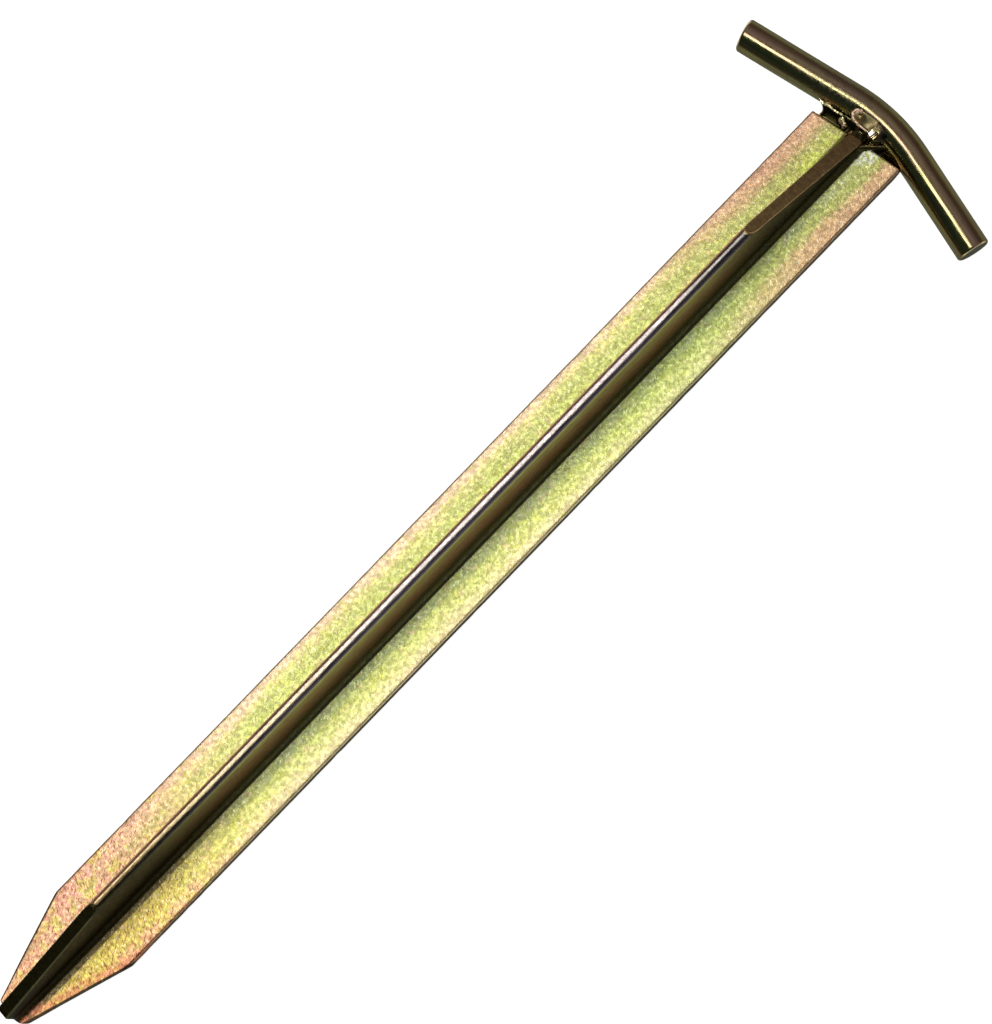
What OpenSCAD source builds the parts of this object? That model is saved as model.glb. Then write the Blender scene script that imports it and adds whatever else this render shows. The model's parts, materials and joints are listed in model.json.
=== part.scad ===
// Tent stake: a length of rolled T section with a tapered tip, and a bent round bar
// welded across its head as a striking head and as two arms for the guy line.
//
// X runs along the stake, towards the head. Z runs out of the flange's back, so the web
// stands on +Z. The long arm points to +Y and the short arm to -Y.
// The origin is the middle of the flange's flat back.

/* [T section] */
// Width of the flange
flange_w = 30; // [26:1:36]
// Height of the section, from the flange's back to the web's edge
section_h = 30; // [24:1:36]
// Nominal thickness of the flange and the web
wall_t = 4; // [3.5:0.25:5]
// Slope of the rolled faces, as rise over run
roll_taper = 0.02; // [0:0.005:0.03]
// Radius in the two corners between web and flange
root_r = 2; // [2:0.5:4]
// Radius on the flange's front edges
flange_edge_r = 0.75; // [0.5:0.25:1]
// Radius on the web's two edges
web_edge_r = 1; // [0.5:0.25:1.25]

/* [Length and tip] */
// Length of the section along its middle
profile_len = 343; // [250:0.2:450]
// Width of the flange at the blunt tip
tip_w = 9.4; // [8:0.2:14]
// Length over which the flange narrows to the tip
tip_taper_len = 33.5; // [25:0.5:60]
// Height of the section at the tip
tip_h = 14.5; // [10:0.5:20]
// Length over which the web slopes down to the tip
tip_slope_len = 41.4; // [30:0.2:60]
// How far the tip's end is off square, in degrees
tip_skew = 5; // [0:1:8]
// Radius of the tip's corner on the long arm's side
tip_corner_r = 0.8; // [0.4:0.2:1.6]
// Radius of the tip's worn corner, on the short arm's side
tip_worn_r = 3.2; // [1:0.2:3.4]

/* [Head end of the section] */
// Length over which the web slopes down to the head end
head_slope_len = 42.5; // [35:0.5:60]
// Height of the section at the head end
head_h = 7.3; // [6:0.1:9]
// How far the head end is off square, in degrees
head_skew = 8.8; // [8:0.2:11]
// Width of the bevel that takes the back weld
bevel_w = 2.5; // [1.5:0.1:3]
// Depth of that bevel
bevel_depth = 1.8; // [1:0.1:2]

/* [Head bar] */
// Diameter of the round bar
bar_d = 10; // [9.6:0.1:10.4]
// Distance from the section's head end to the point where the arms' axes cross
bend_gap = 10.1; // [10:0.1:10.6]
// How far the bend lies off the stake's middle line, towards the short arm
bend_offset = 3; // [2:0.2:4]
// Angle by which each arm drops back towards the tip
arm_angle = 12.6; // [11:0.2:13]
// How far the bar is turned off square, long arm towards the head, in degrees
bar_skew = 1; // [0:0.1:1.2]
// Radius of the bend on the bar's axis
bend_r = 54; // [45:1:60]
// Length of the long arm, from the crossing point to its end
long_arm = 48.8; // [40:0.2:60]
// Length of the short arm, from the crossing point to its end
short_arm = 44; // [38:0.2:60]
// Radius on the edges of the bar's two ends
bar_end_r = 0.8; // [0.3:0.1:1.5]

/* [Welds] */
// Radius of the crown on the bead that fills the gap
gap_bead_r = 4.2; // [3.8:0.1:4.6]
// Height of that crown above the flange's front
gap_crown = 1.2; // [0.6:0.1:1.6]
// Radius of the hollow edge where that bead ends at the flange's side
gap_edge_r = 3.2; // [2.5:0.1:4]
// Depth of that hollow
gap_edge_depth = 0.5; // [0.3:0.1:2]
// Radius of the lump of weld at the end of the web
lump_r = 3.6; // [3:0.1:4]
// Radius of the thin seam on the short arm's side
seam_r = 2.2; // [1.8:0.1:2.6]
// Height of that seam above the flange's front
seam_crown = 0.9; // [0.5:0.1:1.2]
// Radius of the crown on the back bead
back_bead_r = 4.6; // [4.2:0.1:5]
// Height of that crown above the flange's back
back_crown = 1.1; // [0.6:0.1:1.5]
// Strip of the bevel that the back bead leaves bare
back_land = 0.3; // [0.2:0.1:0.6]

/* [Hidden] */
$fn = 96;
zinc_yellow = [0.80, 0.76, 0.45];
zinc_dark = [0.48, 0.44, 0.31];
weld_brown = [0.26, 0.20, 0.16];
past = 2;                                   // how far a cutting shape runs past the part
nip = 0.1;                                  // overlap that keeps joined outlines one piece
half_w = flange_w / 2;
half_len = profile_len / 2;
tip_x = -half_len;
head_x = half_len;
bar_r = bar_d / 2;
bar_z = wall_t / 2;                         // the bar's axis lies in the middle of the flange
bend_run = bend_r * tan(arm_angle);         // from the crossing point to the end of the bend
cross_x = head_x + bend_gap;
bend_reach = bend_r / cos(arm_angle);       // from the crossing point to the bend's centre
bend_centre = [cross_x - bend_reach * cos(bar_skew), bend_reach * sin(bar_skew) - bend_offset];
lump_y = [-3.4, 2.6];                       // ends of the lump's middle line
lump_out = [4.8, 4.3];                      // those ends' distance past the head end
lump_rise = 2.6;                            // the lump's middle line above the bar's axis
foot_r = lump_r - 1.2;                      // radius of the lump's foot
foot_y = -5.4;                              // where the lump's foot reaches the bar
foot_out = [-1, 3.6];                       // the foot's two ends, past the head end
foot_drop = 0.6;                            // how far the foot sinks towards the bar
gap_bead_y = [2, half_w + 3];               // runs past the flange's side and is cut off there
seam_y = [-6, 3 - half_w];
back_bead_inset = 4.8;                      // from the flange's sides to that bead's end centres
back_bead_y = (half_w - back_bead_inset) * [-1, 1];
weld_split_z = 1.5;                         // the back bead stops here, and the gap bead starts

// Rolled faces: the flange's front at distance y from the middle, and half the web at height z
function flange_top(y) = wall_t + roll_taper * (half_w / 2 - abs(y));
function half_web(z) = wall_t / 2 + roll_taper * (section_h / 2 - z);
function unit(v) = v / norm(v);
// The end of the section at distance y from the middle
function head_end(y) = head_x - y * tan(head_skew);
// The bar's axis at distance y from the middle, near the bend
function bar_axis(y) = bend_centre.x + sqrt(bend_r * bend_r - pow(y - bend_centre.y, 2));

// The sliver between a corner and the arc that rounds it. The faces leave the corner
// along u and v, and the sliver runs a little past the corner.
module corner_sliver(corner, u, v, r) {
    half_angle = acos(u * v) / 2;
    run = r / tan(half_angle);
    centre = corner + unit(u + v) * r / sin(half_angle);
    difference() {
        polygon([corner - nip * (u + v), corner + run * u, centre, corner + run * v]);
        translate(centre) circle(r);
    }
}

// The T section, with Y across the flange and Z along the web drawn as x and y
module section() {
    web_foot = [half_web(wall_t), flange_top(half_web(wall_t))];
    web_edge = [half_web(section_h), section_h];
    flange_edge = [half_w, flange_top(half_w)];
    up_web = unit(web_edge - [half_web(0), 0]);
    out_flange = unit(flange_edge - [0, flange_top(0)]);
    half_angle = acos(up_web * out_flange) / 2;
    root_run = root_r / tan(half_angle);
    root_centre = web_foot + unit(up_web + out_flange) * root_r / sin(half_angle);
    half = [[half_w, 0], flange_edge, web_foot + out_flange * root_run, root_centre,
            web_foot + up_web * root_run, web_edge];
    difference() {
        polygon(concat(half, [for (i = [len(half) - 1:-1:0]) [-half[i].x, half[i].y]]));
        for (side = [0, 1])
            mirror([side, 0]) {
                translate(root_centre) circle(root_r);
                corner_sliver(web_edge, -up_web, [-1, 0], web_edge_r);
                corner_sliver(flange_edge, -out_flange, [0, -1], flange_edge_r);
            }
    }
}

// Outline from the front: the narrowing tip and the two ends cut off square or nearly so
module plan_cut() {
    slope = (half_w - tip_w / 2) / tip_taper_len;
    wide = half_w + past;
    taper_end = tip_x + tip_taper_len + past / slope;
    tip_left = [tip_x + tip_w / 2 * tan(tip_skew), tip_w / 2];
    tip_right = [tip_x - tip_w / 2 * tan(tip_skew), -tip_w / 2];
    along_end = unit(tip_left - tip_right);
    difference() {
        polygon([tip_left, [taper_end, wide], [head_end(wide), wide],
                 [head_end(-wide), -wide], [taper_end, -wide], tip_right]);
        corner_sliver(tip_left, -along_end, unit([1, slope]), tip_corner_r);
        corner_sliver(tip_right, along_end, unit([1, -slope]), tip_worn_r);
    }
}

// Outline from the side: the web's slopes down to the tip and to the head
module side_cut() {
    tip_slope = (section_h - tip_h) / tip_slope_len;
    head_slope = (section_h - head_h) / head_slope_len;
    polygon([[tip_x - past, -past], [head_x + 2 * past, -past],
             [head_x + 2 * past, head_h - 2 * past * head_slope],
             [head_x - head_slope_len - past / head_slope, section_h + past],
             [tip_x + tip_slope_len + past / tip_slope, section_h + past],
             [tip_x - past, tip_h - past * tip_slope]]);
}

// Wedge off the back edge of the head end, where the back weld has melted in
module back_bevel() {
    translate([head_x, 0, 0])
        rotate([0, 0, head_skew])
            rotate([90, 0, 0])
                linear_extrude(2 * flange_w, center = true)
                    polygon([[-bevel_w * (1 + past / bevel_depth), -past],
                             [past, -past], [past, bevel_depth * (1 + past / bevel_w)]]);
}

module profile_shape() {
    difference() {
        intersection() {
            rotate([90, 0, 90])
                linear_extrude(profile_len + 4 * past, center = true) section();
            translate([0, 0, -past]) linear_extrude(section_h + 2 * past) plan_cut();
            rotate([90, 0, 0]) linear_extrude(flange_w + 2 * past, center = true) side_cut();
        }
        back_bevel();
    }
}

// Straight round bar along +Z from the origin, with a rounded far edge
module bar_length(length) {
    rotate_extrude() {
        square([bar_r - bar_end_r, length]);
        square([bar_r, length - bar_end_r]);
        translate([bar_r - bar_end_r, length - bar_end_r]) circle(bar_end_r);
    }
}

module bar_shape() {
    translate([bend_centre.x, bend_centre.y, bar_z])
        rotate([0, 0, -bar_skew]) {
            rotate([0, 0, -arm_angle])
                rotate_extrude(angle = 2 * arm_angle) translate([bend_r, 0]) circle(bar_r);
            rotate([0, 0, arm_angle])
                translate([bend_r, 0, 0]) rotate([-90, 0, 0]) bar_length(long_arm - bend_run);
            rotate([0, 0, -arm_angle])
                translate([bend_r, 0, 0]) rotate([90, 0, 0]) bar_length(short_arm - bend_run);
        }
}

// Round-ended rod between two points
module capsule(from, to, r) {
    run = to - from;
    length = norm(run);
    translate(from)
        rotate([0, acos(run.z / length), atan2(run.y, run.x)])
            rotate_extrude()
                intersection() {
                    union() {
                        circle(r);
                        translate([0, length]) circle(r);
                        translate([-r, 0]) square([2 * r, length]);
                    }
                    translate([0, -r]) square([r, length + 2 * r]);
                }
}

// A point in the middle of the gap between the section's end and the bar
function in_gap(y, z) = [(head_end(y) + bar_axis(y) - bar_r) / 2, y, z];

// The lump over the web's end, with a foot that runs back down the web's side
module lump_shape() {
    lump_z = bar_z + lump_rise;
    capsule([head_x + lump_out[0], lump_y[0], lump_z],
            [head_x + lump_out[1], lump_y[1], lump_z], lump_r);
    capsule([head_x + foot_out[0], -half_web(wall_t), wall_t],
            [head_x + foot_out[1], foot_y, wall_t - foot_drop], foot_r);
}

// Everything behind the plane that parts the back bead from the welds in front of it
module back_layer() {
    translate([0, 0, weld_split_z - section_h])
        cube([2 * profile_len, 2 * flange_w, 2 * section_h], center = true);
}

// The bead that fills the gap on the long arm's side, hollow where it ends
module gap_bead_shape() {
    crown_z = wall_t + gap_crown - gap_bead_r;
    edge = in_gap(half_w, 0);
    difference() {
        capsule(in_gap(gap_bead_y[0], crown_z), in_gap(gap_bead_y[1], crown_z), gap_bead_r);
        translate([edge.x, half_w + gap_edge_r - gap_edge_depth, -section_h / 2])
            cylinder(h = section_h, r = gap_edge_r);
        translate([edge.x - flange_w / 2, half_w, -section_h])
            cube([flange_w, flange_w, 2 * section_h]);
        back_layer();
    }
}

module seam_shape() {
    seam_z = wall_t + seam_crown - seam_r;
    difference() {
        capsule(in_gap(seam_y[0], seam_z), in_gap(seam_y[1], seam_z), seam_r);
        back_layer();
    }
}

// The back bead: its crown starts inside the bevel's edge, so the flange's back stays flat
module back_bead_shape() {
    crown_z = back_bead_r - back_crown;
    start = sqrt(back_bead_r * back_bead_r - crown_z * crown_z) - bevel_w + back_land;
    intersection() {
        capsule([head_end(back_bead_y[0]) + start, back_bead_y[0], crown_z],
                [head_end(back_bead_y[1]) + start, back_bead_y[1], crown_z], back_bead_r);
        back_layer();
    }
}

module t_profile() {
    color(zinc_yellow)
        difference() {
            profile_shape();
            bar_shape();
        }
}

module head_bar() {
    color(zinc_dark) bar_shape();
}

module weld_front_lump() {
    color(weld_brown)
        difference() {
            lump_shape();
            profile_shape();
            bar_shape();
            back_layer();
        }
}

module weld_gap_bead() {
    color(weld_brown)
        difference() {
            gap_bead_shape();
            profile_shape();
            bar_shape();
            lump_shape();
        }
}

module weld_side_seam() {
    color(weld_brown)
        difference() {
            seam_shape();
            profile_shape();
            bar_shape();
            lump_shape();
        }
}

module weld_back_bead() {
    color(weld_brown)
        difference() {
            back_bead_shape();
            profile_shape();
            bar_shape();
        }
}

t_profile();
head_bar();
weld_front_lump();
weld_gap_bead();
weld_side_seam();
weld_back_bead();
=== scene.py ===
"""Looks of the welded T-section tent stake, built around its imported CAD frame.

The CAD frame: X runs along the stake to the head, Z runs out of the flange's back through the
web, and the long arm points to +Y. Lengths in this script are millimetres until a mesh is made.
"""

import functools
import json
import math

import bmesh
import bpy
import numpy as np
from mathutils import Matrix, Vector, noise


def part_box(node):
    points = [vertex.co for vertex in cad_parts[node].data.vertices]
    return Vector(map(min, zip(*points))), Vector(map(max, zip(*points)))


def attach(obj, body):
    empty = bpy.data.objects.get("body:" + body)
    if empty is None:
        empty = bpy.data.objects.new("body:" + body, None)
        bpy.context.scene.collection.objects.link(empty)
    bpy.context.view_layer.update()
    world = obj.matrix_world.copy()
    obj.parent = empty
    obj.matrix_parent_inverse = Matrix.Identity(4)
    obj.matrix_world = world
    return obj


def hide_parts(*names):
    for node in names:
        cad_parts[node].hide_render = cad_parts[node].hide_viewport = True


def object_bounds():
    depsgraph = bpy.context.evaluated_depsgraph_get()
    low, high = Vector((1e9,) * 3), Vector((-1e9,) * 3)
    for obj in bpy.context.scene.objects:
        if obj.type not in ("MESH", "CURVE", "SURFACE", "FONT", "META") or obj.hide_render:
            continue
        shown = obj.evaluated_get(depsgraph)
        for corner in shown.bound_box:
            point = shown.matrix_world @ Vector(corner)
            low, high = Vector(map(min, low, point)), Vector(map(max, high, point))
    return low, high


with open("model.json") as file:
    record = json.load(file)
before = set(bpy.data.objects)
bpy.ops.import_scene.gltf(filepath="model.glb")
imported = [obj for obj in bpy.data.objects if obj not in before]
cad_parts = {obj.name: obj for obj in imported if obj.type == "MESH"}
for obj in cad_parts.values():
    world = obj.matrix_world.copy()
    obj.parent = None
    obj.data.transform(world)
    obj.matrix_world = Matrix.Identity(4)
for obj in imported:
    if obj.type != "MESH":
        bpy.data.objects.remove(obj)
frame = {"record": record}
cad_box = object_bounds()

MM = 0.001

# ---------------------------------------------------------------- sizes of the real stake
MOUNTS = {m["name"]: m for m in frame["record"]["mounts"]}

# Half the flange's width, and how high the web stands.
_, HALF_W, SECTION_H = np.array(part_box("t_profile")[1]) / MM
WALL = 4.0
TAPER = 0.02  # slope of the rolled faces
ROOT_R = 2.0
# Radii worn or rolled on the long arm's side and on the short arm's side.
FLANGE_EDGE_R = (0.6, 0.95)
WEB_EDGE_R = (1.25, 1.65)
TIP_X, HEAD_X = -171.5, 171.5  # the section's two ends on the middle line
TIP_HALF_W, TIP_TAPER = 4.7, 33.5
TIP_H, TIP_SLOPE = 14.5, 41.4
HEAD_H, HEAD_SLOPE = 7.3, 42.5
TIP_SKEW, HEAD_SKEW = math.radians(5.0), math.radians(8.8)
TIP_CORNER_R, TIP_WORN_R = 0.8, 3.2  # on the long and on the short arm's side
BEVEL_W, BEVEL_DEPTH = 2.5, 1.8  # back edge of the head end

BAR_R = MOUNTS["long_arm"]["dims"]["r_mm"]
BAR_Z = MOUNTS["long_arm"]["pos_m"][2] / MM
BEND_R = 54.0
BAR_END_R = 0.8


# ---------------------------------------------------------------- small helpers
def smooth_step(low, high, value):
    """0 below low, 1 above high, and a smooth rise between."""
    t = np.clip((np.asarray(value, float) - low) / (high - low), 0, 1)
    return t * t * (3 - 2 * t)


def add_object(name, data):
    obj = bpy.data.objects.new(name, data)
    bpy.context.scene.collection.objects.link(obj)
    return obj


MERGE_DISTANCE = 0.002


def add_mesh(name, points, faces, sharp_degrees=38, bare=None):
    """A smooth-shaded mesh from points in millimetres, with edges sharper than that angle kept.

    Points that meet are merged, except where a weld tint with painted light and shade is given, one
    number for each of them.
    """
    mesh = bpy.data.meshes.new(name)
    mesh.from_pydata([tuple(p) for p in np.asarray(points) * MM], [], faces)
    if bare:
        mesh.attributes.new("bare", "FLOAT", "POINT").data.foreach_set("value", bare)
    bm = bmesh.new()
    bm.from_mesh(mesh)
    if not bare:
        bmesh.ops.remove_doubles(bm, verts=bm.verts, dist=MERGE_DISTANCE * MM)
    bmesh.ops.recalc_face_normals(bm, faces=bm.faces)
    bm.to_mesh(mesh)
    bm.free()
    mesh.shade_smooth()
    mesh.set_sharp_from_angle(angle=math.radians(sharp_degrees))
    return add_object(name, mesh)


def loft(rings):
    """Quads between closed rings of equal length, as points and faces."""
    count = len(rings[0])
    points = np.concatenate(rings)
    faces = []
    for i in range(len(rings) - 1):
        a, b = i * count, (i + 1) * count
        for j in range(count):
            k = (j + 1) % count
            faces.append((a + j, a + k, b + k, b + j))
    return points, faces


def push_along_normals(obj, height):
    """Moves each vertex along its normal by height(x, y, z), in millimetres."""
    mesh = obj.data
    normals = [v.normal.copy() for v in mesh.vertices]
    for vertex, normal in zip(mesh.vertices, normals):
        vertex.co += normal * (height(*(vertex.co / MM)) * MM)
    mesh.update()


def finish_piece(obj, node, material):
    """Everything that a finished piece says about itself."""
    obj.data.materials.clear()
    obj.data.materials.append(material)
    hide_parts(node)
    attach(obj, "root")


# ---------------------------------------------------------------- the rolled T section
def flange_top(y):
    return WALL + TAPER * (HALF_W / 2 - abs(y))


def half_web(z):
    return WALL / 2 + TAPER * (SECTION_H / 2 - z)


def arc(centre, radius, start, end, count):
    """Points on an arc, in degrees, from start to end."""
    turn = np.radians(np.linspace(start, end, count))
    return np.column_stack([centre[0] + radius * np.cos(turn), centre[1] + radius * np.sin(turn)])


def front_curve(flange_edge_r, web_edge_r):
    """Half of the rolled front: flange edge, flange front, root, web side and web edge."""
    edge_z = flange_top(HALF_W)
    edge = arc((HALF_W - flange_edge_r, edge_z - flange_edge_r), flange_edge_r, 0, 90, 24)
    root_centre_y = half_web(WALL + ROOT_R) + ROOT_R
    root_centre_z = flange_top(root_centre_y) + ROOT_R
    root = arc((root_centre_y, root_centre_z), ROOT_R, 270, 180, 30)
    top_y = half_web(SECTION_H)
    top = arc((top_y - web_edge_r, SECTION_H - web_edge_r), web_edge_r, 0, 90, 20)
    flange = [(y, flange_top(y)) for y in np.linspace(edge[-1][0] - 0.3, root[0][0] + 0.3, 60)]
    web = [(half_web(z), z) for z in np.linspace(root[-1][1] + 0.3, top[0][1] - 0.3, 110)]
    return np.concatenate([edge, flange, root, web, top])


FRONTS = [front_curve(*radii) for radii in zip(FLANGE_EDGE_R, WEB_EDGE_R)]
FRONT_COUNT, BACK_COUNT, WALL_COUNT, TOP_COUNT = 84, 16, 4, 5
CUT_EDGE_R = 0.22  # worn radius of an edge that was cut
TURN_WEIGHT = 3.0  # millimetres of curve that one radian of bend counts for


def spread(curve, count):
    """That many points along the curve, closer together where it bends."""
    steps = np.diff(curve, axis=0)
    lengths = np.linalg.norm(steps, axis=1)
    headings = np.unwrap(np.arctan2(steps[:, 1], steps[:, 0]))
    bends = np.abs(np.diff(headings, prepend=headings[0]))
    along = np.concatenate([[0], np.cumsum(lengths + TURN_WEIGHT * bends)])
    at = np.linspace(0, along[-1], count)
    return np.column_stack([np.interp(at, along, curve[:, k]) for k in (0, 1)])


def cut_front(front, half_w, top_z):
    """The part of a front curve inside half_w and below top_z, its cut corner worn."""
    inside = (front[:, 0] < half_w) & (front[:, 1] < top_z)
    first = np.argmax(inside)
    kept = front[inside]
    start, end = kept[0], kept[-1]
    before = front[max(first - 1, 0)]
    if before[0] > half_w:
        start = start + (half_w - start[0]) / (before[0] - start[0]) * (before - start)
    last = first + len(kept) - 1
    if last + 1 < len(front) and front[last + 1][1] > top_z:
        kept = kept[kept[:, 1] < top_z - CUT_EDGE_R]
        corner = np.array([[end[0], top_z - CUT_EDGE_R], [end[0] - CUT_EDGE_R, top_z]])
        return spread(np.vstack([start, kept[1:], corner]), FRONT_COUNT)
    return spread(np.vstack([start, kept[1:], end]), FRONT_COUNT)


def half_ring(front, half_w, top_z, back_z):
    """Half of a ring, from the middle of the back round to the middle of the top."""
    front = cut_front(front, half_w, top_z)
    corner = arc((half_w - CUT_EDGE_R, back_z + CUT_EDGE_R), CUT_EDGE_R, -90, 0, 4)
    back = np.column_stack([np.linspace(0, corner[0][0], BACK_COUNT + 1)[:-1],
                            np.full(BACK_COUNT, back_z)])
    wall_z = np.linspace(corner[-1][1], front[0][1], WALL_COUNT + 2)[1:-1]
    wall = np.column_stack([np.full(WALL_COUNT, half_w), wall_z])
    top_y = np.linspace(front[-1][0], 0, TOP_COUNT + 1)[1:]
    top = np.column_stack([top_y, np.full(TOP_COUNT, front[-1][1])])
    return np.vstack([back, corner, wall, front, top])


def ring_outline(right_w, left_w, top_z, back_z):
    """A closed ring of (y, z) points, counted from the middle of the back towards +Y."""
    right = half_ring(FRONTS[0], right_w, top_z, back_z)
    left = half_ring(FRONTS[1], left_w, top_z, back_z)
    mirrored = (left * [-1, 1])[1:-1][::-1]
    return np.vstack([right, mirrored])


def shrink(ring, distance):
    """The ring moved inwards by that distance."""
    ahead, behind = np.roll(ring, -1, axis=0), np.roll(ring, 1, axis=0)
    along = ahead - behind
    along /= np.maximum(np.linalg.norm(along, axis=1, keepdims=True), 1e-9)
    inward = np.column_stack([-along[:, 1], along[:, 0]])
    return ring + inward * distance


def tip_half_width(from_tip, corner_r):
    """Half the flange's width at that distance from the tip, with the tip's corner rounded."""
    slope = (HALF_W - TIP_HALF_W) / TIP_TAPER
    straight = TIP_HALF_W + slope * from_tip
    centre = TIP_HALF_W + slope * corner_r - corner_r * math.hypot(1, slope)
    tangent = corner_r * (1 - math.sin(math.atan(slope)))
    if from_tip < tangent:
        return centre + math.sqrt(max(corner_r**2 - (corner_r - from_tip) ** 2, 0))
    return min(straight, HALF_W)


RING_STEP = 0.85


def ring_places():
    """Distances of the rings from the tip: close together at both ends and at the cuts."""
    length = HEAD_X - TIP_X
    places = [0.0, 0.1, 0.25, 0.5, 0.8, 1.2, 1.7, 2.3, 3.0]
    places += list(np.arange(3.8, length - 3.2, RING_STEP))
    places += [length - d for d in (2.9, 2.5, 2.1, 1.6, 1.1, 0.6, 0.25, 0.1, 0.0)]
    return places


END_EASE = ((0.0, 0.3), (0.1, 0.1), (0.25, 0.02))  # distance from an end, and how far it draws in
TIP_SKEW_RUN, HEAD_SKEW_RUN = 14, 26  # length over which the rings turn square to the stake


def t_section_mesh():
    length = HEAD_X - TIP_X
    rings = []
    for u in ring_places():
        v = length - u
        top_z = min(SECTION_H, TIP_H + u * (SECTION_H - TIP_H) / TIP_SLOPE,
                    HEAD_H + v * (SECTION_H - HEAD_H) / HEAD_SLOPE)
        back_z = BEVEL_DEPTH * max(0.0, 1 - v / BEVEL_W)
        outline = ring_outline(tip_half_width(u, TIP_CORNER_R), tip_half_width(u, TIP_WORN_R),
                               top_z, back_z)
        for distance, inset in END_EASE:
            if abs(min(u, v) - distance) < 1e-6:
                outline = shrink(outline, inset)
        y, z = outline[:, 0], outline[:, 1]
        tip_shear = y * math.tan(TIP_SKEW) * (1 - smooth_step(0, TIP_SKEW_RUN, u))
        head_shear = -y * math.tan(HEAD_SKEW) * (1 - smooth_step(0, HEAD_SKEW_RUN, v))
        rings.append(np.column_stack([TIP_X + u + tip_shear + head_shear, y, z]))
    points, faces = loft(rings)
    count = len(rings[0])
    faces.append(tuple(reversed(range(count))))
    faces.append(tuple(range(len(points) - count, len(points))))
    return add_mesh("rolled_t_section", points, faces)


def rolled_surface(x, y, z):
    """Height of the rolled skin: long waves, orange peel, and nicks along the edges."""
    waves = 0.05 * noise.noise(Vector((x / 26, y / 9, z / 9 + 3)))
    peel = 0.030 * noise.noise(Vector((x / 2.6, y / 1.7 + 7, z / 1.7)))
    peel += 0.016 * noise.noise(Vector((x / 1.5, y / 1.1 - 5, z / 1.1)))
    edge = smooth_step(HALF_W - 1.6, HALF_W, abs(y)) + smooth_step(SECTION_H - 1.2, SECTION_H, z)
    nick = min(0.0, noise.noise(Vector((x / 4.2, y / 6 + 11, z / 6))) + 0.28) * 0.22 * float(edge)
    return waves + peel + nick


# ---------------------------------------------------------------- the bent head bar
ROUTE_STEP = 0.55
BEND_STEPS = 46


def straight_run(start, stop, direction):
    count = int(np.linalg.norm(stop - start) / ROUTE_STEP)
    return [(start + (stop - start) * t, direction) for t in np.linspace(0, 1, count)]


def bar_route():
    """The bar's axis from the short arm's end, as points with unit directions, and both ends."""
    lines = []
    for name in ("short_arm", "long_arm"):
        mount = MOUNTS[name]
        lines.append((np.array(mount["pos_m"]) / MM, np.array(mount["axis"]),
                      mount["dims"]["length_mm"] / 2 + BAR_END_R))
    (ps, ds, es), (pl, dl, el) = lines
    step = np.linalg.solve(np.column_stack([ds[:2], -dl[:2]]), (pl - ps)[:2])
    crossing = ps + ds * step[0]
    half_turn = (math.pi - math.acos(float(np.dot(ds, dl)))) / 2
    run = BEND_R * math.tan(half_turn)
    inward = (ds + dl) / np.linalg.norm(ds + dl)
    centre = crossing + inward * (BEND_R / math.cos(half_turn))
    short_end, long_end = ps + ds * es, pl + dl * el
    route = straight_run(short_end, crossing + ds * run, -ds)
    out = -inward
    side = np.cross([0, 0, 1.0], out)
    for turn in np.linspace(-half_turn, half_turn, BEND_STEPS)[1:-1]:
        direction = -out * math.sin(turn) + side * math.cos(turn)
        route.append((centre + BEND_R * (out * math.cos(turn) + side * math.sin(turn)), direction))
    route += straight_run(crossing + dl * run, long_end, dl)
    return route, short_end, -ds, long_end, dl


BAR_SIDES = 88
LONG_END_TILT = math.radians(4.0)  # the long arm's end is cut longer on its head side
TILT_RUN = 6  # length over which the rings turn square to the arm


def bar_ring(centre, direction, radius, lean=0.0):
    up = np.array([0, 0, 1.0])
    side = np.cross(direction, up)
    turn = np.linspace(0, 2 * math.pi, BAR_SIDES, endpoint=False)
    across = np.outer(np.cos(turn), side) + np.outer(np.sin(turn), up)
    slide = np.outer(np.cos(turn) * radius * math.tan(lean), direction)
    return centre + radius * across + slide


END_SHARES = (0.0, 0.35, 0.7, 0.9)  # rings on a flat end, as shares of its radius
PIN_R = 1e-4  # radius of the ring in the middle of an end


def bar_end_rings(end, direction, inward, lean=0.0):
    """Rings from the middle of an end out over its worn edge; inward is 1 or -1 times direction."""
    flat_r = BAR_R - BAR_END_R
    rings = [bar_ring(end, direction, flat_r * share + PIN_R, lean) for share in END_SHARES]
    for a in np.radians(np.linspace(90, 0, 7)):
        centre = end + inward * direction * BAR_END_R * (1 - math.sin(a))
        rings.append(bar_ring(centre, direction, BAR_R - BAR_END_R * (1 - math.cos(a)), lean))
    return rings


def head_bar_mesh():
    route, short_end, short_dir, long_end, long_dir = bar_route()
    rings = bar_end_rings(short_end, short_dir, 1)
    for centre, direction in route:
        from_start = np.linalg.norm(centre - short_end)
        from_end = np.linalg.norm(centre - long_end)
        if min(from_start, from_end) > BAR_END_R + 0.3:
            lean = LONG_END_TILT * (1 - smooth_step(0, TILT_RUN, from_end))
            rings.append(bar_ring(centre, direction, BAR_R, float(lean)))
    rings += bar_end_rings(long_end, long_dir, -1, LONG_END_TILT)[::-1]
    return add_mesh("round_head_bar", *loft(rings))


def drawn_surface(x, y, z):
    """Height of the drawn bar: faint long waves and shallow handling dents."""
    waves = 0.025 * noise.noise(Vector((x / 7, y / 11, z / 7)))
    dents = min(0.0, noise.noise(Vector((x / 3.1 + 4, y / 3.1, z / 3.1))) + 0.52) * 0.12
    return waves + dents


# ---------------------------------------------------------------- welds
def head_end(y):
    """X of the section's end at distance y from the middle."""
    return HEAD_X - y * math.tan(HEAD_SKEW)


ROUTE = np.array([point for point, direction in bar_route()[0]])


def bar_x(y):
    """X of the bar's axis at distance y from the middle."""
    return float(np.interp(y, ROUTE[:, 1], ROUTE[:, 0]))


def bar_top(x, y):
    """Height of the bar's front at that place, or of its axis beside it."""
    return BAR_Z + math.sqrt(max(BAR_R**2 - (x - bar_x(y)) ** 2, 0))


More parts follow.
